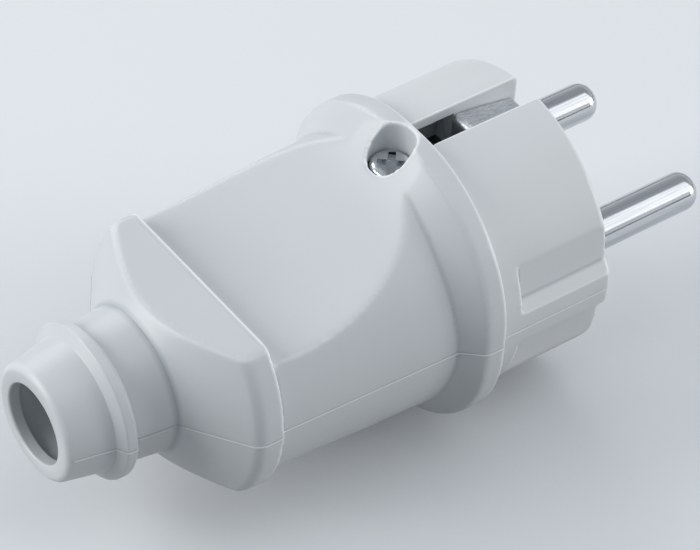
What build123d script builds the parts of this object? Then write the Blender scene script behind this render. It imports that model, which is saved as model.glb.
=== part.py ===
from build123d import *
import os
from math import hypot, sqrt

# A rewirable two-pin plug with side earth contacts, in millimetres.
# The origin is the centre of the engagement face, +X points along the pins and +Z is up.

# Pins
pin_diameter = 4.8
pin_spacing = 19.0
pin_reach = 19.0
pin_tip_radius = 2.0
pin_shank_diameter = 5.2
pin_collar_diameter = 6.9
pin_collar_width = 1.8
pin_head_diameter = 5.6
pin_head_length = 9.7
pin_flat_height = 2.4
wire_hole_diameter = 3.0
wire_hole_depth = 7.2

# Nose of the front insert
nose_radius = 17.8
nose_length = 16.2
nose_edge_radius = 0.6
front_wall = 3.5
slot_width = 4.1
slot_depth = 5.2
slot_end_web = 0.4
slot_window_length = 5.9
guide_length = 13.0
guide_floor_height = 16.3
guide_draft = 0.12
guide_corner_radius = 0.5
rib_root_half_width = 3.5
rib_flank_slope = 0.93

# Spigot and core of the front insert
spigot_wall = 1.45
spigot_length = 7.0
core_length = 15.3
core_half_height = 6.6
cavity_half_height = 10.9
nut_boss_half_width = 4.4
nut_boss_bottom = 8.3

# Hood, from the flange back to the nozzle
wall = 2.0
flange_half_width = 19.1
flange_flat_half_width = 1.5
flange_rim_width = 2.7
flange_slope_length = 2.5
flange_slope_height = 2.25
flange_slope_overlap = 0.2
flange_edge_radius = 0.35
flange_shoulder_radius = 1.0
body_front_radius = 16.8
body_rear_radius = 16.04
body_length = 24.2
band_radius = 16.85
band_length = 3.2
band_corner_radius = 1.8
shoulder_length = 5.6
neck_front_radius = 8.85
neck_rear_radius = 8.3
neck_length = 5.0
neck_fillet_radius = 0.8
collar_radius = 9.5
collar_width = 2.7
collar_slope = 0.75
collar_edge_radius = 0.45
nozzle_front_radius = 8.15
nozzle_rear_radius = 7.05
nozzle_length = 5.65
nozzle_edge_radius = 0.9

# Cord inlet
inlet_radius = 4.95
inlet_lip = 1.4
inlet_edge_radius = 0.3
passage_radius = 5.9

# Thumb scoops and the flats behind their ridges
scoop_radius = 31.0
scoop_low_height = 8.5
scoop_low_offset = 3.6
ridge_height = 10.6
scoop_edge_radius = 0.5
flat_edge_radius = 0.8

# Screws that hold the hood, one above and one below
hood_screw_offset = 3.4
hood_screw_recess_radius = 2.7
bore_flat_height = 12.2
hood_screw_floor = 1.9
hood_screw_head_diameter = 4.4
hood_screw_head_height = 1.3
hood_screw_length = 5.4
nut_width = 5.5
nut_thickness = 2.2
nut_roof = 0.85

# Earth strip and its terminal
strip_width = 3.8
strip_thickness = 0.8
strip_leg_position = 10.4
strip_rear_height = 15.75
strip_middle_position = 5.4
strip_middle_height = 15.3
strip_front_position = 0.6
strip_front_height = 14.4
strip_bend_radius = 1.2
strip_tip_bend_radius = 0.9
strip_bow_radius = 40.0
strip_pad_radius = 3.5
earth_washer_diameter = 6.4
earth_washer_thickness = 0.8
earth_screw_head_diameter = 5.6
earth_screw_head_height = 2.0
earth_screw_length = 7.0

# Rear carrier, which keeps the pins in and holds the cord
carrier_plate_thickness = 2.2
carrier_plate_half_height = 5.7
carrier_floor_top = -4.2
carrier_floor_thickness = 1.8
carrier_floor_half_width = 11.0
carrier_length = 25.5
carrier_screw_y = 4.4
carrier_screw_z = 3.2
carrier_screw_head_diameter = 4.0
carrier_screw_head_height = 1.6
carrier_screw_shank_diameter = 2.2
carrier_screw_length = 8.0

# Cord clamp
clamp_setback = 4.2
clamp_width = 6.0
clamp_post_y = 8.2
clamp_post_radius = 2.7
clamp_post_top = 0.5
clamp_bar_thickness = 1.8
clamp_arch_radius = 4.3
clamp_screw_head_diameter = 4.4
clamp_screw_head_height = 1.5
clamp_screw_length = 5.2

# Metric 3 screws and the fits between pieces
screw_diameter = 3.0
screw_slot_width = 0.8
screw_slot_depth = 0.7
screw_edge_chamfer = 0.35
thread_gap = 0.05
pin_gap = 0.05
seat_gap = 0.15
slide_gap = 0.2

# How far a cutter stands past what it cuts
clear = 1.0
beyond = 60.0

# How near two points count as one place
same_place = 0.01

# Places along the axis, worked out from the lengths above
x_flange = -nose_length
x_rim_rear = x_flange - flange_rim_width
x_body_front = x_rim_rear - flange_slope_length
x_step = x_body_front - body_length
x_band_rear = x_step - band_length
x_shoulder_rear = x_band_rear - shoulder_length
x_neck_rear = x_shoulder_rear - neck_length
x_collar_rear = x_neck_rear - collar_width
x_nozzle_rear = x_collar_rear - nozzle_length
x_nose_rear = x_flange + seat_gap
x_spigot_rear = x_flange - spigot_length
x_core_rear = -front_wall - core_length
x_plate_rear = x_core_rear - carrier_plate_thickness
x_web_rear = x_plate_rear - strip_thickness
x_washer_rear = x_web_rear - earth_washer_thickness
x_carrier_rear = x_plate_rear - carrier_length
x_hood_screw = x_flange - hood_screw_offset
x_clamp = x_carrier_rear + clamp_setback
x_scoop_low = x_step + scoop_low_offset
pin_y = pin_spacing / 2
bore_radius = body_front_radius - wall
spigot_radius = bore_radius - seat_gap
spigot_flat_height = bore_flat_height - seat_gap
cavity_radius = spigot_radius - spigot_wall
slot_floor = nose_radius - slot_depth
x_slot_rear = x_nose_rear + slot_end_web
flange_corner_radius = flange_half_width - flange_flat_half_width
hood_screw_seat = bore_flat_height + hood_screw_floor
body_taper = (body_front_radius - body_rear_radius) / body_length


def turned(*corners):
    """A face in the XY plane through (x, radius) corners, ready to be turned about X."""
    return make_face(Polyline(*corners, close=True))


def block(x_from, x_to, y_from, y_to, z_from, z_to):
    """A box between two corners."""
    size = (abs(x_to - x_from), abs(y_to - y_from), abs(z_to - z_from))
    centre = ((x_from + x_to) / 2, (y_from + y_to) / 2, (z_from + z_to) / 2)
    return Pos(*centre) * Box(*size)


def rod(x_from, x_to, radius, y=0.0, z=0.0):
    """A round bar along X."""
    middle = Pos((x_from + x_to) / 2, y, z)
    return middle * Rot(0, 90, 0) * Cylinder(radius, abs(x_to - x_from))


def upright(x, y, z_from, z_to, radius):
    """A round bar along Z."""
    return Pos(x, y, (z_from + z_to) / 2) * Cylinder(radius, abs(z_to - z_from))


def corner_near(face, x, y):
    """The vertex of a flat face that lies nearest to a point."""
    return face.vertices().sort_by_distance(Vector(x, y, 0))[0]


def hood_outside():
    """The turned outside of the hood with its soft corners."""
    x_crest_rear = x_collar_rear + collar_slope
    x_crest_front = x_neck_rear - collar_slope
    outline = turned(
        (x_nozzle_rear, 0),
        (x_nozzle_rear, nozzle_rear_radius),
        (x_collar_rear, nozzle_front_radius),
        (x_crest_rear, collar_radius),
        (x_crest_front, collar_radius),
        (x_neck_rear, neck_rear_radius),
        (x_shoulder_rear, neck_front_radius),
        (x_band_rear, band_radius),
        (x_step, band_radius),
        (x_step, body_rear_radius),
        (x_flange, body_rear_radius + body_taper * (x_flange - x_step)),
        (x_flange, 0),
    )
    outline = fillet(corner_near(outline, x_nozzle_rear, nozzle_rear_radius), nozzle_edge_radius)
    outline = fillet(corner_near(outline, x_crest_rear, collar_radius), collar_edge_radius)
    outline = fillet(corner_near(outline, x_crest_front, collar_radius), collar_edge_radius)
    outline = fillet(corner_near(outline, x_shoulder_rear, neck_front_radius), neck_fillet_radius)
    outline = fillet(corner_near(outline, x_band_rear, band_radius), band_corner_radius)
    return revolve(outline, Axis.X)


def flange():
    """The squarish flange: a rim with a sloped back that dies into the body."""
    square = RectangleRounded(2 * flange_half_width, 2 * flange_half_width, flange_corner_radius)
    rim_plane = Plane(origin=(x_flange, 0, 0), x_dir=(0, 1, 0), z_dir=(-1, 0, 0))
    rim = extrude(rim_plane * square, flange_rim_width)
    rim = fillet(rim.faces().sort_by(Axis.X)[-1].edges(), flange_edge_radius)
    slope_plane = Plane(origin=(x_rim_rear, 0, 0), x_dir=(0, 1, 0), z_dir=(-1, 0, 0))
    slope_angle = Vector(flange_slope_length, 0).get_angle(
        Vector(flange_slope_length, flange_slope_height)
    )
    corner_reach = flange_corner_radius + sqrt(2) * flange_flat_half_width
    drop = corner_reach - body_front_radius + flange_slope_overlap
    reach = drop * flange_slope_length / flange_slope_height
    slope = extrude(slope_plane * square, reach, taper=slope_angle)
    whole = rim + slope
    shoulder = whole.edges().filter_by_position(Axis.X, x_rim_rear, x_rim_rear)
    return fillet(shoulder, flange_shoulder_radius)


def scoop_roller(extra, side):
    """The round bar across the body whose surface is the scoop, grown by a wall thickness."""
    centre_height = scoop_low_height + scoop_radius
    roller = Rot(90, 0, 0) * Cylinder(scoop_radius + extra, beyond)
    return Pos(x_scoop_low, 0, side * centre_height) * roller


def hood_inside():
    """The hollow of the hood, one wall thickness inside its outside."""
    slope = (band_radius - neck_front_radius) / shoulder_length
    shift = wall * sqrt(1 + slope * slope) / slope
    rear_radius = body_rear_radius - wall

    def cone_place(radius):
        return x_shoulder_rear + shift + (radius - neck_front_radius) / slope

    hollow = revolve(
        turned(
            (x_nozzle_rear + inlet_lip, 0),
            (x_nozzle_rear + inlet_lip, passage_radius),
            (cone_place(passage_radius), passage_radius),
            (cone_place(rear_radius), rear_radius),
            (x_body_front, bore_radius),
            (x_flange, bore_radius),
            (x_flange, 0),
        ),
        Axis.X,
    )
    x_inner_step = x_step - wall
    for side in (1, -1):
        hollow -= scoop_roller(wall, side) & block(
            x_inner_step, x_flange, -beyond, beyond, 0, side * beyond
        )
        hollow -= block(
            x_nozzle_rear, x_inner_step, -beyond, beyond,
            side * (ridge_height - wall), side * beyond,
        )
        hollow -= block(
            x_body_front, x_flange, -beyond, beyond, side * bore_flat_height, side * beyond
        )
    return hollow


def on_flat(point):
    """True on a flat behind a ridge."""
    return point.X < x_step - thread_gap and abs(abs(point.Z) - ridge_height) < same_place


def on_scoop_side(point):
    """True where a scoop meets the outside of the body."""
    body_here = body_rear_radius + body_taper * (point.X - x_step)
    to_roller = hypot(point.X - x_scoop_low, abs(point.Z) - scoop_low_height - scoop_radius)
    on_body = abs(hypot(point.Y, point.Z) - body_here) < same_place
    return on_body and abs(to_roller - scoop_radius) < same_place


def edges_along(solid, test):
    """The edges of a solid that pass a test at five places along them."""
    places = (0.02, 0.25, 0.5, 0.75, 0.98)
    return [edge for edge in solid.edges() if all(test(edge @ place) for place in places)]


def soften_grip(hood):
    """Round the long sides of the scoops and the borders of the flats, not the ridges."""
    hood = fillet(edges_along(hood, on_flat), flat_edge_radius)
    return fillet(edges_along(hood, on_scoop_side), scoop_edge_radius)


def make_hood():
    """The hood: nozzle, collar, shoulder, scooped grip and flange in one moulding."""
    hood, rim = hood_outside(), flange()
    for side in (1, -1):
        scoop = scoop_roller(0, side) & block(
            x_step, x_flange, -beyond, beyond, 0, side * beyond
        )
        hood -= scoop
        rim -= scoop
        hood -= block(
            x_nozzle_rear, x_step, -beyond, beyond, side * ridge_height, side * beyond
        )
    hood = soften_grip(hood) + rim
    hood -= hood_inside()
    hood -= rod(x_nozzle_rear, x_nozzle_rear + inlet_lip, inlet_radius)
    rear_end = hood.faces().sort_by(Axis.X)[0]
    hood = fillet(rear_end.inner_wires()[0].edges(), inlet_edge_radius)
    for side in (1, -1):
        hood -= upright(
            x_hood_screw, 0, side * hood_screw_seat, side * beyond, hood_screw_recess_radius
        )
        hood -= upright(
            x_hood_screw, 0, 0, side * beyond, screw_diameter / 2 + slide_gap
        )
    return hood


def guide_cutter(side_y, side_z):
    """One of the four side guides: a drafted floor beside the rib, open at the face."""
    outside = nose_radius + clear
    flank_end = rib_root_half_width - rib_flank_slope * (outside - guide_floor_height)
    top = nose_radius
    floor_at_top = guide_floor_height - guide_draft * (top - rib_root_half_width)
    corners = (
        (guide_floor_height, rib_root_half_width),
        (outside, flank_end),
        (outside, top),
        (floor_at_top, top),
    )
    outline = make_face(
        Polyline(*[(side_y * y, side_z * z) for y, z in corners], close=True)
    )
    root = (side_y * guide_floor_height, side_z * rib_root_half_width)
    outline = fillet(corner_near(outline, *root), guide_corner_radius)
    start = Plane(origin=(-guide_length, 0, 0), x_dir=(0, 1, 0), z_dir=(1, 0, 0))
    return extrude(start * outline, guide_length + clear)


def make_front_insert():
    """The front insert: the keyed nose, its spigot and the core that carries the pins."""
    nose_outline = turned(
        (x_nose_rear, 0), (x_nose_rear, nose_radius), (0, nose_radius), (0, 0)
    )
    nose_outline = fillet(corner_near(nose_outline, 0, nose_radius), nose_edge_radius)
    nose = revolve(nose_outline, Axis.X)
    for side_y in (1, -1):
        for side_z in (1, -1):
            nose -= guide_cutter(side_y, side_z)

    spigot = rod(x_spigot_rear, x_nose_rear, spigot_radius)
    spigot &= block(
        x_spigot_rear, x_nose_rear, -beyond, beyond, -spigot_flat_height, spigot_flat_height
    )
    insert = nose + spigot
    cavity = rod(x_spigot_rear, -front_wall, cavity_radius)
    cavity &= block(
        x_spigot_rear, -front_wall, -beyond, beyond, -cavity_half_height, cavity_half_height
    )
    cavity -= block(
        x_core_rear, -front_wall, -beyond, beyond, -core_half_height, core_half_height
    )
    insert -= cavity

    half_slot = slot_width / 2
    nut_reach = nut_width / 2 + seat_gap
    nut_top = spigot_flat_height - nut_roof
    for side in (1, -1):
        insert -= block(
            x_slot_rear, clear, -half_slot, half_slot, side * slot_floor, side * beyond
        )
        insert -= block(
            x_slot_rear, x_slot_rear + slot_window_length, -half_slot, half_slot,
            side * core_half_height, side * slot_floor,
        )
        insert += block(
            x_spigot_rear, x_nose_rear, -nut_boss_half_width, nut_boss_half_width,
            side * nut_boss_bottom, side * spigot_flat_height,
        )
        insert -= block(
            x_spigot_rear, x_hood_screw + nut_reach, -nut_reach, nut_reach,
            side * (nut_top - nut_thickness), side * nut_top,
        )
        insert -= upright(
            x_hood_screw, 0, side * core_half_height, side * bore_flat_height,
            screw_diameter / 2 + slide_gap,
        )
        insert -= rod(x_core_rear, clear, pin_shank_diameter / 2 + pin_gap, y=side * pin_y)
        insert -= rod(
            x_spigot_rear, x_core_rear, pin_head_diameter / 2 + slide_gap, y=side * pin_y
        )
        insert -= rod(
            x_core_rear, x_core_rear + pin_collar_width, pin_collar_diameter / 2 + pin_gap,
            y=side * pin_y,
        )
        insert -= rod(
            x_core_rear, x_core_rear + carrier_screw_length,
            carrier_screw_shank_diameter / 2 + thread_gap,
            y=side * carrier_screw_y, z=side * carrier_screw_z,
        )
    insert -= block(
        x_core_rear, x_core_rear + nut_thickness, -nut_reach, nut_reach, -nut_reach, nut_reach
    )
    insert -= rod(
        x_core_rear, x_washer_rear + earth_screw_length + seat_gap,
        screw_diameter / 2 + slide_gap,
    )
    return insert


def make_pin(side):
    """A solid pin with a round tip, a stepped shank and a drilled terminal head."""
    x_head_rear = x_core_rear - pin_head_length
    outline = turned(
        (x_core_rear + pin_collar_width, 0),
        (x_core_rear + pin_collar_width, pin_shank_diameter / 2),
        (0, pin_shank_diameter / 2),
        (0, pin_diameter / 2),
        (pin_reach, pin_diameter / 2),
        (pin_reach, 0),
    )
    outline = fillet(corner_near(outline, pin_reach, pin_diameter / 2), pin_tip_radius)
    pin = Pos(0, side * pin_y, 0) * revolve(outline, Axis.X)
    pin += rod(
        x_core_rear, x_core_rear + pin_collar_width, pin_collar_diameter / 2, y=side * pin_y
    )
    pin += rod(x_head_rear, x_core_rear, pin_head_diameter / 2, y=side * pin_y)
    pin -= rod(
        x_head_rear, x_head_rear + wire_hole_depth, wire_hole_diameter / 2, y=side * pin_y
    )
    pin -= block(
        x_head_rear, x_plate_rear - seat_gap, side * pin_y - pin_head_diameter,
        side * pin_y + pin_head_diameter, pin_flat_height, pin_head_diameter,
    )
    pin -= upright(
        pin_screw_place(), side * pin_y, 0, pin_head_diameter, screw_diameter / 2 + thread_gap
    )
    return pin


def pin_screw_place():
    """The place of a pin's terminal screw along the axis."""
    return x_core_rear - pin_head_length + wire_hole_depth / 2


def screw(head_diameter, head_height, shank_diameter, shank_length):
    """A slotted pan-head screw whose head seats at z = 0 and whose shank points down."""
    head = Pos(0, 0, head_height / 2) * Cylinder(head_diameter / 2, head_height)
    head = chamfer(head.edges().sort_by(Axis.Z)[-1], screw_edge_chamfer)
    slot = Pos(0, 0, head_height) * Box(
        2 * head_diameter, screw_slot_width, 2 * screw_slot_depth
    )
    shank = Pos(0, 0, -shank_length / 2) * Cylinder(shank_diameter / 2, shank_length)
    return head - slot + shank


def make_pin_screw(side):
    """The screw that clamps a wire in the head of a pin."""
    body = screw(
        clamp_screw_head_diameter, clamp_screw_head_height, screw_diameter, pin_flat_height
    )
    return Pos(pin_screw_place(), side * pin_y, pin_flat_height) * body


def make_hood_screw(side):
    """A screw that goes in through the flange and pulls the hood to the insert."""
    body = screw(
        hood_screw_head_diameter, hood_screw_head_height, screw_diameter, hood_screw_length
    )
    turn = Rot(0 if side > 0 else 180, 0, 0)
    return Pos(x_hood_screw, 0, side * hood_screw_seat) * turn * body


def square_nut():
    """A square nut lying flat with its hole along Z and its middle at the origin."""
    return Box(nut_width, nut_width, nut_thickness) - Cylinder(
        screw_diameter / 2 + thread_gap, nut_thickness
    )


def make_hood_nut(side):
    """The nut that a hood screw pulls on, slid into the insert from behind."""
    nut_middle = spigot_flat_height - nut_roof - nut_thickness / 2
    return Pos(x_hood_screw, 0, side * nut_middle) * square_nut()


def make_earth_nut():
    """The nut behind the earth terminal, let into the core."""
    return Pos(x_core_rear + nut_thickness / 2, 0, 0) * Rot(0, 90, 0) * square_nut()


def make_earth_strip():
    """One bent strip: a web with the terminal pad and two sprung side contacts."""
    x_web = x_plate_rear - strip_thickness / 2
    rest = core_half_height + strip_thickness / 2
    x_front = -strip_front_position
    half_path = FilletPolyline(
        (x_web, 0),
        (x_web, rest),
        (-strip_leg_position, rest),
        (-strip_leg_position, strip_rear_height),
        (-strip_middle_position, strip_middle_height),
        (x_front, strip_front_height),
        (x_front, slot_floor + strip_thickness / 2),
        radius=[
            strip_bend_radius, strip_bend_radius, strip_bend_radius,
            strip_bow_radius, strip_tip_bend_radius,
        ],
    )
    side_view = make_face(offset(half_path, strip_thickness / 2, side=Side.BOTH, kind=Kind.TANGENT))
    flat_side = Plane(origin=(0, 0, 0), x_dir=(1, 0, 0), z_dir=(0, -1, 0))
    upper = extrude(flat_side * side_view, strip_width / 2, both=True)
    strip = upper + mirror(upper, Plane.XY)
    strip += rod(x_web_rear, x_plate_rear, strip_pad_radius)
    strip -= rod(x_web_rear - clear, x_plate_rear + clear, screw_diameter / 2 + slide_gap)
    return strip


def make_earth_washer():
    """The washer that presses the earth wire on the strip."""
    return rod(x_washer_rear, x_web_rear, earth_washer_diameter / 2) - rod(
        x_washer_rear, x_web_rear, screw_diameter / 2 + slide_gap
    )


def make_earth_screw():
    """The earth terminal screw, driven from behind."""
    body = screw(
        earth_screw_head_diameter, earth_screw_head_height, screw_diameter, earth_screw_length
    )
    return Pos(x_washer_rear, 0, 0) * Rot(0, -90, 0) * body


def make_rear_carrier():
    """The plate that keeps the pins in, with the floor and posts of the cord clamp."""
    plate = rod(x_plate_rear, x_core_rear, cavity_radius - slide_gap)
    plate &= block(
        x_plate_rear, x_core_rear, -beyond, beyond,
        -carrier_plate_half_height, carrier_plate_half_height,
    )
    floor_bottom = carrier_floor_top - carrier_floor_thickness
    floor = block(
        x_carrier_rear, x_plate_rear, -carrier_floor_half_width, carrier_floor_half_width,
        floor_bottom, carrier_floor_top,
    )
    floor -= block(
        x_web_rear - slide_gap, x_plate_rear, -strip_width / 2 - slide_gap,
        strip_width / 2 + slide_gap, floor_bottom, carrier_floor_top,
    )
    carrier = plate + floor
    counterbore = carrier_screw_head_height
    for side in (1, -1):
        post = upright(
            x_clamp, side * clamp_post_y, floor_bottom, clamp_post_top, clamp_post_radius
        )
        carrier += post
        carrier -= upright(
            x_clamp, side * clamp_post_y, clamp_post_top - clamp_screw_length, clamp_post_top,
            carrier_screw_shank_diameter / 2 + thread_gap,
        )
        carrier -= rod(
            x_plate_rear, x_core_rear, pin_head_diameter / 2 + slide_gap, y=side * pin_y
        )
        place = {"y": side * carrier_screw_y, "z": side * carrier_screw_z}
        carrier -= rod(
            x_plate_rear, x_core_rear, carrier_screw_shank_diameter / 2 + slide_gap, **place
        )
        carrier -= rod(
            x_plate_rear, x_plate_rear + counterbore,
            carrier_screw_head_diameter / 2 + slide_gap, **place,
        )
    carrier -= rod(x_plate_rear, x_core_rear, screw_diameter / 2 + slide_gap)
    return carrier


def make_carrier_screw(side):
    """A screw that holds the rear carrier on the core, its head sunk in the plate."""
    shank = carrier_screw_length - carrier_screw_head_height
    body = screw(
        carrier_screw_head_diameter, carrier_screw_head_height,
        carrier_screw_shank_diameter, shank,
    )
    seat = x_plate_rear + carrier_screw_head_height
    return Pos(seat, side * carrier_screw_y, side * carrier_screw_z) * Rot(0, -90, 0) * body


def make_cord_clamp():
    """The arched bar that presses the cord on the carrier's floor."""
    half_span = clamp_post_y + clamp_post_radius
    outer = clamp_arch_radius + clamp_bar_thickness
    arch = rod(x_clamp - clamp_width / 2, x_clamp + clamp_width / 2, outer)
    ears = block(
        x_clamp - clamp_width / 2, x_clamp + clamp_width / 2, -half_span, half_span,
        clamp_post_top, clamp_post_top + clamp_bar_thickness,
    )
    bar = arch + ears
    bar &= block(
        x_clamp - clamp_width / 2, x_clamp + clamp_width / 2, -half_span, half_span,
        clamp_post_top, outer,
    )
    bar -= rod(x_clamp - clamp_width, x_clamp + clamp_width, clamp_arch_radius)
    for side in (1, -1):
        bar -= upright(
            x_clamp, side * clamp_post_y, clamp_post_top, outer,
            carrier_screw_shank_diameter / 2 + slide_gap,
        )
    return bar


def make_clamp_screw(side):
    """A screw that pulls the cord clamp down on its post."""
    body = screw(
        clamp_screw_head_diameter, clamp_screw_head_height,
        carrier_screw_shank_diameter, clamp_screw_length,
    )
    return Pos(x_clamp, side * clamp_post_y, clamp_post_top + clamp_bar_thickness) * body


left, right = 1, -1
top, bottom = 1, -1
pieces = {
    "hood": make_hood(),
    "front_insert": make_front_insert(),
    "rear_carrier": make_rear_carrier(),
    "pin_left": make_pin(left),
    "pin_right": make_pin(right),
    "pin_screw_left": make_pin_screw(left),
    "pin_screw_right": make_pin_screw(right),
    "earth_strip": make_earth_strip(),
    "earth_washer": make_earth_washer(),
    "earth_screw": make_earth_screw(),
    "earth_nut": make_earth_nut(),
    "carrier_screw_upper": make_carrier_screw(top),
    "carrier_screw_lower": make_carrier_screw(bottom),
    "cord_clamp": make_cord_clamp(),
    "clamp_screw_left": make_clamp_screw(left),
    "clamp_screw_right": make_clamp_screw(right),
    "hood_screw_top": make_hood_screw(top),
    "hood_screw_bottom": make_hood_screw(bottom),
    "hood_nut_top": make_hood_nut(top),
    "hood_nut_bottom": make_hood_nut(bottom),
}

os.makedirs("parts", exist_ok=True)
for name, piece in pieces.items():
    export_step(piece, f"parts/{name}.step")
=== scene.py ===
from math import cos, hypot, pi, radians, sin, tan

import bmesh
import bpy
import numpy as np
from mathutils import Matrix, Vector


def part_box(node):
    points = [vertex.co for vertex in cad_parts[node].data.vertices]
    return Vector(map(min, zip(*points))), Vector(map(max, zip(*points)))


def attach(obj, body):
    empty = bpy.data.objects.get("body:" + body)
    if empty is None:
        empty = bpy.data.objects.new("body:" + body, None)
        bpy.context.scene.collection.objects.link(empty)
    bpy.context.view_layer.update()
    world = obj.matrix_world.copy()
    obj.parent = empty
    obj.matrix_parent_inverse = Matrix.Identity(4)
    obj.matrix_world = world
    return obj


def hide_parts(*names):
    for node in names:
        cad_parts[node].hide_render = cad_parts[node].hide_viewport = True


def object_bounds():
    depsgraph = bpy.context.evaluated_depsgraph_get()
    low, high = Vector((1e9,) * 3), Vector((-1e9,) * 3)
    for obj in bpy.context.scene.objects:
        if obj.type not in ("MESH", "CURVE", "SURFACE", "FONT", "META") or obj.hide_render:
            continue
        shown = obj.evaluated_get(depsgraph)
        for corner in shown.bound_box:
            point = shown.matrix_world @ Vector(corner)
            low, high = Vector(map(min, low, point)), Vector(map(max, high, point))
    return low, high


# A rewirable two-pin plug with side earth contacts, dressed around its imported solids.
# +X runs along the pins, +Z is up, and the origin is the centre of the engagement face.
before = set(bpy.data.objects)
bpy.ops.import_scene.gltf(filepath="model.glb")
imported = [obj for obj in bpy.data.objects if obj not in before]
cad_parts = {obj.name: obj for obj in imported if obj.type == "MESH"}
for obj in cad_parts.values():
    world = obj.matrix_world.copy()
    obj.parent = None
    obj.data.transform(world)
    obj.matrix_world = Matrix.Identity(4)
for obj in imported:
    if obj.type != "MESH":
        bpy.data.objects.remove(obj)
cad_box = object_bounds()
bpy.ops.object.select_all(action="DESELECT")

MM = 0.001

# Places along the axis
nozzle_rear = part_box("hood")[0].x
flange_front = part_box("hood")[1].x
collar_rear = -62.1 * MM
neck_rear = -59.4 * MM
shoulder_rear = -54.4 * MM
band_rear = -48.8 * MM
step_place = -45.6 * MM
body_front = -21.4 * MM
rim_rear = -18.9 * MM

# Radii and heights of the hood
flange_half_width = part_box("hood")[1].y
flange_corner = 17.6 * MM
flange_slope = 2.25 / 2.5
flange_slope_length = 3.5 * MM
flange_shoulder = 0.9 * MM
flange_edge = 0.3 * MM
body_front_radius = 16.8 * MM
body_front_gap = 0.5 * MM
body_rear_radius = 16.04 * MM
band_radius = 16.85 * MM
band_corner = 1.8 * MM
neck_front_radius = 8.85 * MM
neck_rear_radius = 8.3 * MM
collar_radius = 9.5 * MM
collar_slope = 0.75 * MM
collar_corner = 0.32 * MM
collar_root = 0.12 * MM
nozzle_front_radius = 8.15 * MM
nozzle_rear_radius = 7.05 * MM
nozzle_corner = 0.9 * MM
scoop_radius = 31.0 * MM
scoop_low_height = 8.5 * MM
scoop_low_place = -42.0 * MM
ridge_height = 10.6 * MM

# The hood's even skin, how far its two turned solids run into each other, the spacing of
# their extra rings, and the borders of its cuts that are eased
hood_grain = 0.28 * MM
turned_overlap = 1.2 * MM
ring_gap = 0.9 * MM
flat_border = 0.9 * MM
flat_front_gap = 0.4 * MM
scoop_border = 0.8 * MM
scoop_rear_gap = 0.6 * MM

# The hollow of the hood
inlet_radius = 4.95 * MM
inlet_lip = 1.4 * MM
inlet_corner = 0.35 * MM
inlet_flare = 2.0 * MM
inlet_skim = 0.04 * MM
passage_radius = 5.9 * MM
hollow_radius = 13.9 * MM
hollow_height = 6.4 * MM
hollow_rear = -49.5 * MM
bore_radius = 14.8 * MM

# Screws that hold the hood
hood_screw_place = -19.6 * MM
recess_radius = 2.7 * MM
screw_seat = 14.1 * MM
screw_head_radius = 2.5 * MM
screw_head_height = 1.3 * MM
screw_head_corner = 0.55 * MM
screw_slot_half_width = 0.42 * MM
screw_slot_depth = 0.9 * MM
screw_wing_length = 1.6 * MM
screw_wing_half_width = 0.5 * MM
screw_wing_extra = 0.2 * MM
screw_edge = 0.12 * MM
screw_shank_radius = 1.5 * MM
screw_shank_length = 5.4 * MM
screw_turn = radians(49)

# The flash line that the mould leaves, how far it stops short of a bore, and how far the
# flange's side stands back for it
flash_width = 0.17 * MM
flash_height = 0.1 * MM
flash_bore_gap = 0.5 * MM
flash_room = flash_height + 0.01 * MM

# How edges are marked for the painted highlights on sharp edges and the painted shade in creases:
# the sharpest bend counted and the bend given to a crease, both per mm, and the shortest edge
# that a bend is taken over, in mm
most_bend = 2.0
crease_bend = -0.7
shortest_span = 0.12

# Nose of the front insert
nose_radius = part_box("front_insert")[1].y
nose_rear = -16.05 * MM
nose_edge = 0.6 * MM
nose_rear_corner = 0.15 * MM
insert_grain = 0.21 * MM
guide_length = 13.0 * MM
guide_floor = 16.3 * MM
guide_draft = 0.12
guide_corner = 0.5 * MM
rib_root = 3.5 * MM
rib_flank_slope = 0.93
slot_half_width = 2.05 * MM
slot_floor = 12.6 * MM
slot_rear = -15.65 * MM
slot_window_length = 5.9 * MM
slot_wall = 1.3 * MM
slot_void_length = 6.5 * MM
slot_void_half_width = 5.0 * MM
slot_inset = 0.05 * MM
window_overlap = 0.3 * MM
void_overlap = 0.1 * MM
core_half_height = 6.6 * MM
spigot_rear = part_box("front_insert")[0].x
spigot_radius = 14.65 * MM
spigot_flat = 12.05 * MM
spigot_overlap = 0.5 * MM
cavity_radius = 13.2 * MM
cavity_half_height = 10.9 * MM
front_wall = 3.5 * MM
core_rear = -18.8 * MM
core_length = 15.3 * MM
pin_hole_gap = 0.05 * MM

# Pins
pin_y = 9.5 * MM
pin_radius = 2.4 * MM
pin_reach = 19 * MM
pin_tip_radius = 2.0 * MM
pin_shank_radius = 2.6 * MM
pin_collar_radius = 3.45 * MM
pin_collar_width = 1.8 * MM
pin_head_radius = 2.8 * MM
pin_head_edge = 0.3 * MM
pin_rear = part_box("pin_left")[0].x
pin_flat_height = 2.4 * MM
pin_flat_end = core_rear - 2.4 * MM
wire_hole_radius = 1.5 * MM
wire_hole_depth = 7.2 * MM
# Chosen so that no corner of the hole falls on a spoke of the pin's turned end
wire_hole_sides = 50
pin_screw_place = pin_rear + wire_hole_depth / 2
pin_screw_radius = 1.55 * MM

# Earth strip
strip_width = 3.8 * MM
strip_thickness = 0.8 * MM
strip_leg = 9.0 * MM
strip_rest = core_half_height + strip_thickness / 2
strip_bend = 1.2 * MM
strip_rear_height = 15.85 * MM
strip_rear_bend = 0.42 * MM
strip_crown_place = -5.4 * MM
strip_crown_height = 15.3 * MM
strip_crown_bend = 40 * MM
strip_tip_place = -0.6 * MM
strip_tip_height = 14.4 * MM
strip_tip_bend = 0.9 * MM
strip_pad_radius = 3.5 * MM
strip_hole_radius = 1.7 * MM
web_place = -21.4 * MM

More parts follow.
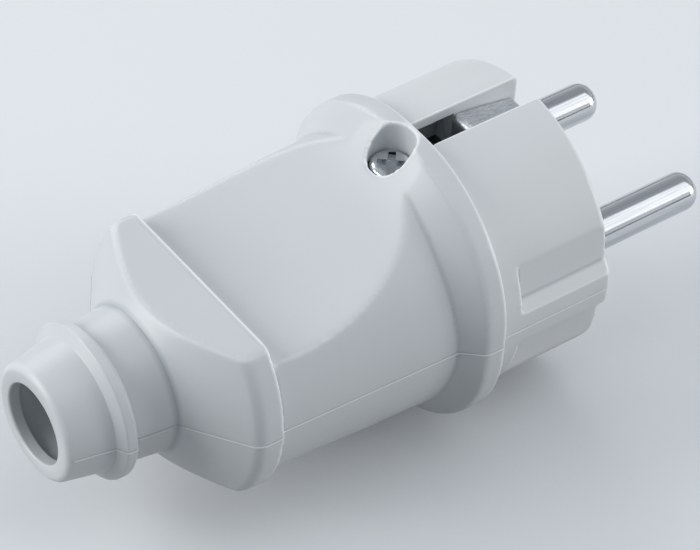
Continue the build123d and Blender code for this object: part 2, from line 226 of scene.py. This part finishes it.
# How far a cutting tool stands past the face it cuts, and a reach past the whole plug
past = 1 * MM
beyond = 60 * MM

# How near a place counts as on a plane, and how near two places count as one
on_plane = 0.01 * MM
same_place = 0.001 * MM


def edit(piece):
    """Open a piece in edit mode with nothing selected."""
    bpy.ops.object.select_all(action="DESELECT")
    bpy.context.view_layer.objects.active = piece
    piece.select_set(True)
    bpy.ops.object.mode_set(mode="EDIT")
    bpy.ops.mesh.select_mode(type="VERT")
    bpy.ops.mesh.select_all(action="DESELECT")


def choose(piece, kind, test):
    """Select the vertices, edges or faces of the open piece that pass a test, which is given
    the middle and the normal, or an edge's direction."""
    bpy.ops.mesh.select_mode(type=kind)
    bpy.ops.mesh.select_all(action="DESELECT")
    mesh = bmesh.from_edit_mesh(piece.data)
    groups = {"VERT": mesh.verts, "EDGE": mesh.edges, "FACE": mesh.faces}
    for element in groups[kind]:
        if kind == "VERT":
            middle, way = element.co, element.normal
        elif kind == "EDGE":
            ends = [corner.co for corner in element.verts]
            middle, way = (ends[0] + ends[1]) / 2, (ends[1] - ends[0]).normalized()
        else:
            middle, way = element.calc_center_median(), element.normal
        if test(middle, way):
            element.select_set(True)
    bmesh.update_edit_mesh(piece.data)


def finish_edit():
    """Leave edit mode with nothing selected."""
    bpy.ops.object.mode_set(mode="OBJECT")
    bpy.ops.object.select_all(action="DESELECT")


def apply_modifier(piece, kind, **settings):
    """Add a modifier with its settings and apply it."""
    bpy.ops.object.select_all(action="DESELECT")
    bpy.context.view_layer.objects.active = piece
    change = piece.modifiers.new(kind.lower(), kind)
    for setting, value in settings.items():
        setattr(change, setting, value)
    bpy.ops.object.modifier_apply(modifier=change.name)


def join_solid(piece, tool, operation):
    """Add, cut or keep the common part of two solids, and delete the tool."""
    apply_modifier(piece, "BOOLEAN", operation=operation, object=tool, solver="EXACT")
    bpy.data.objects.remove(tool, do_unlink=True)


def settle(piece, name):
    """Put a piece's place into its mesh and name it."""
    bpy.ops.object.select_all(action="DESELECT")
    bpy.context.view_layer.objects.active = piece
    piece.select_set(True)
    bpy.ops.object.transform_apply(location=True, rotation=True, scale=True)
    piece.name = name
    piece.data.name = name
    return piece


def bar(name, start, end, radius, sides=96):
    """A round bar between two points."""
    start, end = Vector(start), Vector(end)
    turn = (end - start).to_track_quat("Z", "Y").to_euler()
    bpy.ops.mesh.primitive_cylinder_add(
        vertices=sides, radius=radius, depth=(end - start).length,
        location=(start + end) / 2, rotation=turn,
    )
    return settle(bpy.context.object, name)


def block(name, low, high):
    """A box between two corners."""
    low, high = Vector(low), Vector(high)
    bpy.ops.mesh.primitive_cube_add(size=1, location=(low + high) / 2, scale=high - low)
    return settle(bpy.context.object, name)


def open_path(name, corners):
    """A bent wire in the XY plane. Each corner is (x, y) or (x, y, rounding radius)."""
    points = [Vector((corner[0], corner[1], 0)) for corner in corners]
    bpy.ops.mesh.primitive_plane_add(size=MM, location=points[0])
    piece = settle(bpy.context.object, name)
    edit(piece)
    bpy.ops.mesh.select_all(action="SELECT")
    bpy.ops.mesh.merge(type="CENTER")
    for before, after in zip(points, points[1:]):
        step = {"value": after - before}
        bpy.ops.mesh.extrude_vertices_move(TRANSFORM_OT_translate=step)
    for before, corner, after, sizes in zip(points, points[1:], points[2:], corners[1:]):
        if len(sizes) == 3:
            turn = (corner - before).angle(after - corner)
            choose(piece, "VERT", lambda place, way: (place - corner).length < same_place)
            bpy.ops.mesh.bevel(
                offset=sizes[2] * tan(turn / 2), segments=12, affect="VERTICES",
                clamp_overlap=False,
            )
    return piece


def turned(name, corners, steps=256):
    """A profile of (x, radius) corners turned about X, from axis to axis."""
    piece = open_path(name, corners)
    bpy.ops.mesh.select_all(action="SELECT")
    bpy.ops.mesh.spin(steps=steps, angle=2 * pi, center=(0, 0, 0), axis=(1, 0, 0))
    bpy.ops.mesh.select_all(action="SELECT")
    bpy.ops.mesh.remove_doubles(threshold=same_place / 2)
    bpy.ops.mesh.normals_make_consistent(inside=False)
    finish_edit()
    return piece


def soften(piece, grain, rounds):
    """Give a sharp solid an even skin and the small soft corners of a moulding."""
    apply_modifier(piece, "REMESH", mode="VOXEL", voxel_size=grain)
    apply_modifier(piece, "SMOOTH", factor=0.5, iterations=rounds)


def raise_parting_line(piece, on_line):
    """Raise the hairline that the two mould halves leave at z = 0, where a test allows it."""
    edit(piece)
    for side in (1, -1):
        bpy.ops.mesh.select_all(action="SELECT")
        bpy.ops.mesh.bisect(
            plane_co=(0, 0, side * flash_width / 2), plane_no=(0, 0, 1), threshold=same_place
        )
    choose(
        piece, "FACE",
        lambda place, way: abs(place.z) < flash_width / 2 and on_line(place),
    )
    bpy.ops.mesh.extrude_region_shrink_fatten(
        TRANSFORM_OT_shrink_fatten={"value": flash_height}
    )
    finish_edit()


def ease(piece, near, rounds):
    """Smooth the corners near the places that pass a test a little more."""
    edit(piece)
    choose(piece, "VERT", near)
    bpy.ops.mesh.vertices_smooth(factor=0.5, repeat=rounds)
    finish_edit()


def mark_edges(piece, crease=None):
    """Write how tightly the surface bends at each vertex, per mm, into the attribute "bend", from
    which the material paints highlights on sharp edges and shade in creases. A crease is a
    (place, radius) ring where two solids meet, and its bend is written evenly, so painted shade
    runs along it."""
    mesh = piece.data
    places = np.empty(len(mesh.vertices) * 3)
    mesh.vertices.foreach_get("co", places)
    places = places.reshape(-1, 3) / MM
    ways = np.empty(len(mesh.vertices) * 3)
    mesh.vertices.foreach_get("normal", ways)
    ways = ways.reshape(-1, 3)
    ends = np.empty(len(mesh.edges) * 2, dtype=np.int64)
    mesh.edges.foreach_get("vertices", ends)
    first, second = ends.reshape(-1, 2).T
    span = places[second] - places[first]
    square = np.maximum((span ** 2).sum(axis=1), shortest_span ** 2)
    count = np.bincount(first, minlength=len(places)) + np.bincount(second, minlength=len(places))
    at_first = -2 * (span * ways[first]).sum(axis=1) / square
    at_second = 2 * (span * ways[second]).sum(axis=1) / square
    bend = (
        np.bincount(first, at_first, len(places)) + np.bincount(second, at_second, len(places))
    ) / count
    bend = np.clip(bend, -most_bend, most_bend)
    for _ in range(2):
        around = (
            np.bincount(first, bend[second], len(places))
            + np.bincount(second, bend[first], len(places))
        ) / count
        bend = (bend + around) / 2
    # The crease ring gets a set bend, which the material turns into painted shade
    if crease:
        away = np.hypot(
            places[:, 0] - crease[0] / MM,
            np.hypot(places[:, 1], places[:, 2]) - crease[1] / MM,
        ) * MM / ring_gap
        bend = np.where(away < 1, crease_bend * (1 - away), bend)
    marks = mesh.attributes.new("bend", "FLOAT", "POINT")
    marks.data.foreach_set("value", bend.astype(np.float32))


def flange_body():
    """The squarish flange: a rim with a sloped back, bevelled where they meet."""
    side = flange_half_width - flash_room
    piece = block(
        "flange", (rim_rear, -side, -flange_half_width), (flange_front, side, flange_half_width)
    )
    edit(piece)
    choose(piece, "EDGE", lambda place, way: abs(way.x) > 0.99)
    bpy.ops.mesh.bevel(offset=flange_corner, segments=40, affect="EDGES", clamp_overlap=False)
    choose(piece, "FACE", lambda place, way: way.x < -0.99)
    shrink = 1 - flange_slope * flange_slope_length / flange_half_width
    bpy.ops.mesh.extrude_region_move(
        TRANSFORM_OT_translate={"value": (-flange_slope_length, 0, 0)}
    )
    bpy.ops.transform.resize(value=(1, shrink, shrink))
    choose(
        piece, "EDGE",
        lambda place, way: abs(place.x - rim_rear) < on_plane and abs(way.x) < 0.1,
    )
    bpy.ops.mesh.bevel(offset=flange_shoulder * 0.4, segments=5, affect="EDGES")
    choose(
        piece, "EDGE",
        lambda place, way: abs(place.x - flange_front) < on_plane and abs(way.x) < 0.1,
    )
    bpy.ops.mesh.bevel(offset=flange_edge, segments=4, affect="EDGES")
    finish_edit()
    return piece


def scoop_cutter(side):
    """The round bar whose surface is a thumb scoop, ended square at the ridge."""
    height = side * (scoop_low_height + scoop_radius)
    piece = bar(
        "scoop", (scoop_low_place, -beyond, height), (scoop_low_place, beyond, height),
        scoop_radius, 720,
    )
    edit(piece)
    bpy.ops.mesh.select_all(action="SELECT")
    bpy.ops.mesh.bisect(
        plane_co=(step_place, 0, 0), plane_no=(1, 0, 0), use_fill=True, clear_inner=True
    )
    finish_edit()
    return piece


def make_hood():
    """The moulded hood: nozzle, collar, neck, shoulder, scooped grip and flange."""
    shoulder_rise = (band_radius - neck_front_radius) / (band_rear - shoulder_rear)
    inner_front = flange_front - body_front_gap
    hood = turned(
        "hood_moulding",
        [
            (shoulder_rear - turned_overlap, 0),
            (shoulder_rear - turned_overlap, neck_front_radius - shoulder_rise * turned_overlap),
            (band_rear, band_radius, band_corner),
            (step_place, band_radius),
            (step_place, body_rear_radius),
            (body_front, body_front_radius),
            (inner_front, body_front_radius),
            (inner_front, 0),
        ],
    )
    join_solid(hood, flange_body(), "UNION")
    for side in (1, -1):
        join_solid(hood, scoop_cutter(side), "DIFFERENCE")
        low, high = sorted((side * ridge_height, side * beyond))
        flat = block("flat", (nozzle_rear - past, -beyond, low), (step_place, beyond, high))
        join_solid(hood, flat, "DIFFERENCE")
        recess = bar(
            "recess", (hood_screw_place, 0, side * screw_seat),
            (hood_screw_place, 0, side * beyond), recess_radius,
        )
        join_solid(hood, recess, "DIFFERENCE")
    soften(hood, hood_grain, 4)
    ease(
        hood,
        lambda place, way: place.x < step_place - flat_front_gap
        and abs(abs(place.z) - ridge_height) < flat_border and way.x < 0.9
        and abs(way.z) < 0.995,
        8,
    )
    ease(
        hood,
        lambda place, way: step_place + scoop_rear_gap < place.x < rim_rear - flange_slope_length
        and abs(hypot(
            place.x - scoop_low_place, scoop_low_height + scoop_radius - abs(place.z)
        ) - scoop_radius) < scoop_border
        and hypot(place.y, place.z) > body_rear_radius - scoop_border,
        10,
    )

    nozzle_rise = (nozzle_front_radius - nozzle_rear_radius) / (collar_rear - nozzle_rear)
    neck_rise = (neck_front_radius - neck_rear_radius) / (shoulder_rear - neck_rear)
    nozzle = turned(
        "nozzle",
        [
            (nozzle_rear, 0),
            (nozzle_rear, nozzle_rear_radius, nozzle_corner),
            (collar_rear - ring_gap, nozzle_front_radius - nozzle_rise * ring_gap),
            (collar_rear, nozzle_front_radius, collar_root),
            (collar_rear + collar_slope, collar_radius, collar_corner),
            (neck_rear - collar_slope, collar_radius, collar_corner),
            (neck_rear, neck_rear_radius),
            (neck_rear + ring_gap, neck_rear_radius + neck_rise * ring_gap),
            (shoulder_rear - ring_gap, neck_front_radius - neck_rise * ring_gap),
            (shoulder_rear + turned_overlap, neck_front_radius + neck_rise * turned_overlap),
            (shoulder_rear + turned_overlap, 0),
        ],
    )
    join_solid(hood, nozzle, "UNION")

    outside = nozzle_rear - inlet_skim
    passage = turned(
        "passage",
        [
            (nozzle_rear - past, 0),
            (nozzle_rear - past, inlet_radius + inlet_flare),
            (outside, inlet_radius + inlet_flare),
            (outside, inlet_radius, inlet_corner),
            (nozzle_rear + inlet_lip, inlet_radius),
            (nozzle_rear + inlet_lip, passage_radius),
            (hollow_rear, passage_radius),
            (hollow_rear, 0),
        ],
        96,
    )
    join_solid(hood, passage, "DIFFERENCE")
    hollow = bar(
        "hollow", (hollow_rear - past, 0, 0), (flange_front + past, 0, 0), hollow_radius
    )
    limits = block(
        "limits", (nozzle_rear - beyond, -beyond, -hollow_height), (beyond, beyond, hollow_height)
    )
    join_solid(hollow, limits, "INTERSECT")
    bore = bar("bore", (body_front, 0, 0), (flange_front + past, 0, 0), bore_radius)
    join_solid(hollow, bore, "UNION")
    join_solid(hood, hollow, "DIFFERENCE")
    raise_parting_line(
        hood,
        lambda place: nozzle_rear + nozzle_corner < place.x < flange_front - flange_edge
        and abs(place.y) - flash_bore_gap > (
            bore_radius if place.x > hollow_rear else passage_radius
        ),
    )
    return hood


def guide_cutter(side_y, side_z):
    """One side guide: a drafted floor beside the rib, open at the face."""
    outside = nose_radius + past
    flank_end = rib_root - rib_flank_slope * (outside - guide_floor)
    floor_at_top = guide_floor - guide_draft * (nose_radius - rib_root)
    corners = [
        (outside, flank_end), (guide_floor, rib_root, guide_corner),
        (floor_at_top, nose_radius), (outside, nose_radius),
    ]
    piece = open_path("guide", [(side_y * c[0], side_z * c[1], *c[2:]) for c in corners])
    bpy.ops.mesh.select_all(action="SELECT")
    bpy.ops.mesh.edge_face_add()
    bpy.ops.mesh.extrude_region_move(
        TRANSFORM_OT_translate={"value": (0, 0, guide_length + past)}
    )
    bpy.ops.mesh.select_all(action="SELECT")
    bpy.ops.mesh.normals_make_consistent(inside=False)
    finish_edit()
    piece.rotation_euler = (pi / 2, 0, pi / 2)
    piece.location = (-guide_length, 0, 0)
    return settle(piece, "guide")


def make_insert():
    """The front insert: the keyed nose with its slots, the spigot and the core."""
    insert = turned(
        "front_insert_moulding",
        [
            (nose_rear, 0), (nose_rear, nose_radius, nose_rear_corner),
            (0, nose_radius, nose_edge), (0, 0),
        ],
    )
    for side_y in (1, -1):
        for side_z in (1, -1):
            join_solid(insert, guide_cutter(side_y, side_z), "DIFFERENCE")
    for side in (1, -1):
        low, high = sorted((side * slot_floor, side * beyond))
        slot = block("slot", (slot_rear, -slot_half_width, low), (past, slot_half_width, high))
        join_solid(insert, slot, "DIFFERENCE")
    soften(insert, insert_grain, 2)

    spigot = bar(
        "spigot", (spigot_rear, 0, 0), (nose_rear + spigot_overlap, 0, 0), spigot_radius, 160
    )
    flats = block("flats", (-beyond, -beyond, -spigot_flat), (beyond, beyond, spigot_flat))
    join_solid(spigot, flats, "INTERSECT")
    join_solid(insert, spigot, "UNION")
    cavity = bar("cavity", (spigot_rear - past, 0, 0), (-front_wall, 0, 0), cavity_radius, 128)
    limits = block(
        "limits", (-beyond, -beyond, -cavity_half_height), (beyond, beyond, cavity_half_height)
    )
    join_solid(cavity, limits, "INTERSECT")
    core = block(
        "core", (core_rear, -beyond, -core_half_height), (beyond, beyond, core_half_height)
    )
    join_solid(cavity, core, "DIFFERENCE")
    join_solid(insert, cavity, "DIFFERENCE")
    window_rear = slot_rear + slot_inset
    window_front = slot_rear + slot_window_length
    half_width = slot_half_width - slot_inset
    for side in (1, -1):
        low, high = sorted((side * core_half_height, side * (slot_floor + window_overlap)))
        window = block(
            "window", (window_rear, -half_width, low), (window_front, half_width, high)
        )
        join_solid(insert, window, "DIFFERENCE")
        low, high = sorted((
            side * (cavity_half_height - void_overlap), side * (nose_radius - slot_wall)
        ))
        void = block(
            "void", (window_rear, -slot_void_half_width, low),
            (slot_rear + slot_void_length, slot_void_half_width, high),
        )
        inside = bar("inside", (slot_rear, 0, 0), (0, 0, 0), nose_radius - slot_wall, 128)
        join_solid(void, inside, "INTERSECT")
        join_solid(insert, void, "DIFFERENCE")
        hole = bar(
            "pin_hole", (-front_wall - core_length - past, side * pin_y, 0),
            (past, side * pin_y, 0), pin_shank_radius + pin_hole_gap, 64,
        )
        join_solid(insert, hole, "DIFFERENCE")
    raise_parting_line(
        insert,
        lambda place: nose_rear < place.x < -nose_edge and abs(place.y) > guide_floor,
    )
    return insert


def make_pin(name, side):
    """A contact pin: a round tip and shank, a collar, and a head bored for the wire."""
    pin = turned(
        name,
        [
            (pin_rear, 0),
            (pin_rear, pin_head_radius, pin_head_edge),
            (core_rear, pin_head_radius),
            (core_rear, pin_collar_radius),
            (core_rear + pin_collar_width, pin_collar_radius),
            (core_rear + pin_collar_width, pin_shank_radius),
            (0, pin_shank_radius),
            (0, pin_radius),
            (pin_reach, pin_radius, pin_tip_radius),
            (pin_reach, 0),
        ],
        128,
    )
    wire_hole = bar(
        "wire_hole", (pin_rear - past, 0, 0), (pin_rear + wire_hole_depth, 0, 0),
        wire_hole_radius, wire_hole_sides,
    )
    join_solid(pin, wire_hole, "DIFFERENCE")
    flat = block(
        "flat", (pin_rear - past, -beyond, pin_flat_height), (pin_flat_end, beyond, beyond)
    )
    join_solid(pin, flat, "DIFFERENCE")
    screw_hole = bar(
        "screw_hole", (pin_screw_place, 0, 0), (pin_screw_place, 0, pin_head_radius + past),
        pin_screw_radius, 48,
    )
    join_solid(pin, screw_hole, "DIFFERENCE")
    pin.location = (0, side * pin_y, 0)
    return settle(pin, name)


def make_strip():
    """The sprung earth strip, bent from one length, with rounded bends."""
    strip = open_path(
        "earth_strip_bent",
        [
            (web_place, 0),
            (web_place, strip_rest, strip_bend),
            (-strip_leg, strip_rest, strip_bend),
            (-strip_leg, strip_rear_height, strip_rear_bend),
            (strip_crown_place, strip_crown_height, strip_crown_bend),
            (strip_tip_place, strip_tip_height, strip_tip_bend),
            (strip_tip_place, slot_floor + strip_thickness / 2),
        ],
    )
    bpy.ops.mesh.select_all(action="SELECT")
    bpy.ops.transform.rotate(value=-pi / 2, orient_axis="X", center_override=(0, 0, 0))
    bpy.ops.transform.translate(value=(0, -strip_width / 2, 0))
    bpy.ops.mesh.extrude_region_move(TRANSFORM_OT_translate={"value": (0, strip_width, 0)})
    finish_edit()
    apply_modifier(
        strip, "MIRROR", use_axis=(False, False, True), merge_threshold=on_plane
    )
    edit(strip)
    bpy.ops.mesh.select_all(action="SELECT")
    bpy.ops.mesh.normals_make_consistent(inside=False)
    finish_edit()
    apply_modifier(strip, "SOLIDIFY", thickness=strip_thickness, offset=0, use_even_offset=True)
    half = strip_thickness / 2
    pad = bar("pad", (web_place - half, 0, 0), (web_place + half, 0, 0), strip_pad_radius, 64)
    join_solid(strip, pad, "UNION")
    hole = bar(
        "hole", (web_place - past, 0, 0), (web_place + past, 0, 0), strip_hole_radius, 48
    )
    join_solid(strip, hole, "DIFFERENCE")
    return strip


def make_hood_screw(name, side):
    """A pan-head screw with a cross cut over its slot, and a plain shank."""
    head = bar(name, (0, 0, 0), (0, 0, screw_head_height), screw_head_radius, 96)
    edit(head)
    choose(head, "EDGE", lambda place, way: place.z > screw_head_height * 0.99)
    bpy.ops.mesh.bevel(offset=screw_head_corner, segments=8, affect="EDGES", clamp_overlap=False)
    finish_edit()
    inside_head = screw_head_height / 2
    shank = bar("shank", (0, 0, -screw_shank_length), (0, 0, inside_head), screw_shank_radius, 48)
    join_solid(head, shank, "UNION")
    deep = screw_head_height - screw_slot_depth
    top = 2 * screw_head_height
    half = screw_slot_half_width
    slot = block("slot", (-beyond, -half, deep), (beyond, half, top))
    join_solid(head, slot, "DIFFERENCE")
    for turn in (0, pi / 2):
        wing = block(
            "wing", (-screw_wing_length, -screw_wing_half_width, deep - screw_wing_extra),
            (screw_wing_length, screw_wing_half_width, top),
        )
        wing.rotation_euler = (0, 0, turn)
        join_solid(head, settle(wing, "wing"), "DIFFERENCE")
    apply_modifier(
        head, "BEVEL", width=screw_edge, segments=3, limit_method="ANGLE",
        angle_limit=radians(40),
    )
    head.rotation_euler = (0 if side > 0 else pi, 0, screw_turn)
    head.location = (hood_screw_place, 0, side * screw_seat)
    return settle(head, name)


def linear(code):
    """An sRGB hex colour as the linear colour that a shader takes."""
    parts = [int(code[i:i + 2], 16) / 255 for i in (1, 3, 5)]
    light = [c / 12.92 if c <= 0.04045 else ((c + 0.055) / 1.055) ** 2.4 for c in parts]
    return (*light, 1.0)


def add(tree, kind, inputs, **settings):
    """Add a node; an input that is a (node, output) pair becomes a link."""
    made = tree.nodes.new(kind)
    for setting, value in settings.items():
        setattr(made, setting, value)
    for socket, value in inputs.items():
        if isinstance(value, tuple) and isinstance(value[0], bpy.types.Node):
            tree.links.new(value[0].outputs[value[1]], made.inputs[socket])
        else:
            made.inputs[socket].default_value = value
    return made


def blank(name):
    """A material with an empty node tree."""
    material = bpy.data.materials.new(name)
    material.use_nodes = True
    tree = material.node_tree
    tree.nodes.clear()
    return material, tree


# Painted highlight colour for sharp convex edges and painted shade colour for creases
painted_edge_highlight = "#EDEFF1"
painted_crease_shade = "#8B939A"


def moulded_plastic(name, light, dark, roughness):
    """Injection-moulded thermoplastic, satin: even colour with a faint cloud where the melt
    cooled unevenly, a fine eroded grain that breaks up the gloss, and a painted highlight that
    makes sharp edges lighter than the walls, with painted shade darkening the creases."""
    material, tree = blank(name)
    place = add(tree, "ShaderNodeTexCoord", {})
    cloud = add(tree, "ShaderNodeTexNoise", {
        "Vector": (place, "Object"), "Scale": 1 / (14 * MM), "Detail": 2.0, "Roughness": 0.5,
    })
    colour = add(tree, "ShaderNodeMix", {
        "Factor": (cloud, "Fac"), 6: linear(light), 7: linear(dark),
    }, data_type="RGBA")
    shape = add(tree, "ShaderNodeAttribute", {}, attribute_name="bend")
    # Share of painted highlight on sharp convex edges
    edges = add(tree, "ShaderNodeMapRange", {
        "Value": (shape, "Fac"), "From Min": 0.35, "From Max": 1.0,
        "To Min": 0.0, "To Max": 0.7,
    })
    # Share of painted shade in creases
    creases = add(tree, "ShaderNodeMapRange", {
        "Value": (shape, "Fac"), "From Min": -0.15, "From Max": -0.7,
        "To Min": 0.0, "To Max": 0.55,
    })
    edge_highlighted = add(tree, "ShaderNodeMix", {
        "Factor": (edges, 0), 6: (colour, 2), 7: linear(painted_edge_highlight),
    }, data_type="RGBA")
    highlighted_and_shaded = add(tree, "ShaderNodeMix", {
        "Factor": (creases, 0), 6: (edge_highlighted, 2), 7: linear(painted_crease_shade),
    }, data_type="RGBA")
    grain = add(tree, "ShaderNodeTexNoise", {
        "Vector": (place, "Object"), "Scale": 1 / (0.35 * MM), "Detail": 3.0, "Roughness": 0.6,
    })
    gloss = add(tree, "ShaderNodeMapRange", {
        "Value": (grain, "Fac"), "From Min": 0.3, "From Max": 0.7,
        "To Min": roughness - 0.05, "To Max": roughness + 0.05,
    })
    bump = add(tree, "ShaderNodeBump", {
        "Height": (grain, "Fac"), "Strength": 0.06, "Distance": 0.02 * MM,
    })
    shader = add(tree, "ShaderNodeBsdfPrincipled", {
        "Base Color": (highlighted_and_shaded, 2), "Roughness": (gloss, 0), "Normal": (bump, 0), "IOR": 1.5,
    })
    add(tree, "ShaderNodeOutputMaterial", {"Surface": (shader, 0)})
    return material


def plated_metal(name, bright, dull, roughness, scratch_length, scratch_width, depth):
    """Plated metal, drawn lengthwise: fine lines along X that stretch the highlight, with
    the plating duller in them."""
    material, tree = blank(name)
    place = add(tree, "ShaderNodeTexCoord", {})
    stretch = add(tree, "ShaderNodeMapping", {
        "Vector": (place, "Object"),
        "Scale": (1 / scratch_length, 1 / scratch_width, 1 / scratch_width),
    })
    lines = add(tree, "ShaderNodeTexNoise", {
        "Vector": (stretch, 0), "Scale": 1.0, "Detail": 3.0, "Roughness": 0.6,
    })
    gloss = add(tree, "ShaderNodeMapRange", {
        "Value": (lines, "Fac"), "From Min": 0.3, "From Max": 0.7,
        "To Min": roughness * 0.75, "To Max": roughness * 1.3,
    })
    share = add(tree, "ShaderNodeMapRange", {
        "Value": (lines, "Fac"), "From Min": 0.4, "From Max": 0.65,
    })
    colour = add(tree, "ShaderNodeMix", {
        "Factor": (share, 0), 6: linear(bright), 7: linear(dull),
    }, data_type="RGBA")
    bump = add(tree, "ShaderNodeBump", {
        "Height": (lines, "Fac"), "Strength": 0.15, "Distance": depth,
    })
    shader = add(tree, "ShaderNodeBsdfPrincipled", {
        "Base Color": (colour, 2), "Metallic": 1.0, "Roughness": (gloss, 0),
        "Normal": (bump, 0),
    })
    add(tree, "ShaderNodeOutputMaterial", {"Surface": (shader, 0)})
    return material


def dress(piece, material, slot, *nodes):
    """Give a finished piece its material and smooth shading, hang it under the root body and hide
    the nodes it stands for. The slot is not used.
    """
    piece.data.materials.clear()
    piece.data.materials.append(material)
    bpy.ops.object.select_all(action="DESELECT")
    bpy.context.view_layer.objects.active = piece
    piece.select_set(True)
    bpy.ops.object.shade_smooth_by_angle(angle=radians(30))
    bpy.ops.object.select_all(action="DESELECT")
    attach(piece, "root")
    if nodes:
        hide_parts(*nodes)


hood_plastic = moulded_plastic("moulded_hood_plastic", "#C8CCCE", "#C3C7CA", 0.36)
insert_plastic = moulded_plastic("moulded_insert_plastic", "#D1D4D6", "#CCCFD2", 0.38)
inner_plastic = moulded_plastic("moulded_inner_plastic", "#D6D5CF", "#D0CFC8", 0.45)
nickel = plated_metal(
    "nickel_plated_brass", "#D2D4D7", "#C3C7CA", 0.145, 9 * MM, 0.25 * MM, 0.006 * MM
)
strip_metal = plated_metal(
    "nickel_plated_strip", "#D9DBDE", "#B7BBC0", 0.42, 1.2 * MM, 0.14 * MM, 0.02 * MM
)
zinc = plated_metal(
    "zinc_plated_steel", "#DDE0E3", "#C6CACE", 0.22, 1 * MM, 0.4 * MM, 0.004 * MM
)

hood_piece = make_hood()
# The bend marks drive painted highlights on edges and painted shade in creases, here also along
# the ring where the neck meets the shoulder
mark_edges(hood_piece, (shoulder_rear, neck_front_radius))
dress(hood_piece, hood_plastic, "hood_plastic", "hood")
insert_piece = make_insert()
mark_edges(insert_piece)
dress(insert_piece, insert_plastic, "insert_plastic", "front_insert")
dress(make_pin("contact_pin_left", 1), nickel, "pin_nickel", "pin_left")
dress(make_pin("contact_pin_right", -1), nickel, "pin_nickel", "pin_right")
dress(make_strip(), strip_metal, "strip_nickel", "earth_strip")
dress(make_hood_screw("flange_screw_top", 1), zinc, "screw_zinc", "hood_screw_top")
dress(make_hood_screw("flange_screw_bottom", -1), zinc, "screw_zinc", "hood_screw_bottom")

for node_name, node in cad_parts.items():
    plastic_inside = node_name in ("rear_carrier", "cord_clamp")
    node.data.materials.clear()
    node.data.materials.append(inner_plastic if plastic_inside else zinc)

# Floor, lights and camera
floor_height = cad_box[0].z


def seen_directly(tree):
    """1 where the camera, a mirror or clear plastic looks at a surface, 0 for soft light."""
    path = add(tree, "ShaderNodeLightPath", {})
    either = add(tree, "ShaderNodeMath", {
        0: (path, "Is Camera Ray"), 1: (path, "Is Glossy Ray"),
    }, operation="MAXIMUM")
    return add(tree, "ShaderNodeMath", {
        0: (either, 0), 1: (path, "Is Transmission Ray"),
    }, operation="MAXIMUM")


bpy.ops.mesh.primitive_plane_add(size=3, location=(0, 0, floor_height))
floor = bpy.context.object
floor.name = "floor"
floor_paint, floor_tree = blank("pale_floor")
floor_colour = add(floor_tree, "ShaderNodeMix", {
    "Factor": (seen_directly(floor_tree), 0), 6: linear("#959595"), 7: linear("#DDE0E3"),
}, data_type="RGBA")
floor_shader = add(floor_tree, "ShaderNodeBsdfPrincipled", {
    "Base Color": (floor_colour, 2), "Roughness": 0.7,
})
add(floor_tree, "ShaderNodeOutputMaterial", {"Surface": (floor_shader, 0)})
floor.data.materials.append(floor_paint)

look_at = Vector((-25 * MM, 0, 0))


def softbox(name, direction, distance, width, height, power):
    """An area lamp that faces the plug from a direction."""
    place = look_at + Vector(direction).normalized() * distance
    bpy.ops.object.light_add(type="AREA", location=place)
    lamp = bpy.context.object
    lamp.name = name
    lamp.data.shape = "RECTANGLE"
    lamp.data.size = width
    lamp.data.size_y = height
    lamp.data.energy = power
    lamp.rotation_euler = (look_at - lamp.location).to_track_quat("-Z", "Y").to_euler()


softbox("rear_softbox", (-1.0, 0.5, 0.5), 0.9, 0.6, 0.6, 5.9)
softbox("far_softbox", (0.1, 1.0, 0.6), 0.9, 0.6, 0.6, 2.3)
softbox("right_softbox", (0.456, -0.38, 0.81), 0.75, 0.6, 0.97, 1.85)
softbox("front_softbox", (1.0, -0.66, 0.27), 0.9, 0.36, 0.36, 2.9)
softbox("overhead_softbox", (-0.1, 0.1, 1.0), 0.9, 0.6, 0.6, 0.2)

world = bpy.data.worlds.new("studio")
bpy.context.scene.world = world
world.use_nodes = True
world.node_tree.nodes.clear()
direction = add(world.node_tree, "ShaderNodeTexCoord", {})
height = add(world.node_tree, "ShaderNodeSeparateXYZ", {"Vector": (direction, "Generated")})
walls = add(world.node_tree, "ShaderNodeValToRGB", {"Fac": (height, "Z")})
bands = walls.color_ramp.elements
bands[0].position, bands[0].color = 0.0, linear("#2E3134")
bands[1].position, bands[1].color = 0.07, linear("#2E3134")
for level, shade in ((0.085, "#E4E7EA"), (0.3, "#C2C7CC"), (0.6, "#A5AAB0"), (1.0, "#A5AAB0")):
    bands.new(level).color = linear(shade)
surround = add(world.node_tree, "ShaderNodeMix", {
    "Factor": (seen_directly(world.node_tree), 0), 6: linear("#959BA1"), 7: (walls, "Color"),
}, data_type="RGBA")
background = add(world.node_tree, "ShaderNodeBackground", {
    "Color": (surround, 2), "Strength": 1.0,
})
add(world.node_tree, "ShaderNodeOutputWorld", {"Surface": (background, 0)})

camera_azimuth = radians(50.92)
camera_elevation = radians(43.69)
camera_roll = radians(4.25)
camera_place = Vector((-229.54, -252.66, 311.17)) * MM
forward = Vector((
    cos(camera_azimuth) * cos(camera_elevation),
    sin(camera_azimuth) * cos(camera_elevation),
    -sin(camera_elevation),
))
level_right = Vector((sin(camera_azimuth), -cos(camera_azimuth), 0))
level_up = level_right.cross(forward)
right = level_right * cos(camera_roll) + level_up * sin(camera_roll)
up = level_up * cos(camera_roll) - level_right * sin(camera_roll)
bpy.ops.object.camera_add(location=camera_place)
camera = bpy.context.object
camera.rotation_euler = Matrix((right, up, -forward)).transposed().to_euler()
camera.data.lens = 200.7
camera.data.sensor_width = 36.0
camera.data.clip_start = 0.01
bpy.context.scene.camera = camera
bpy.context.scene.view_settings.view_transform = "Standard"
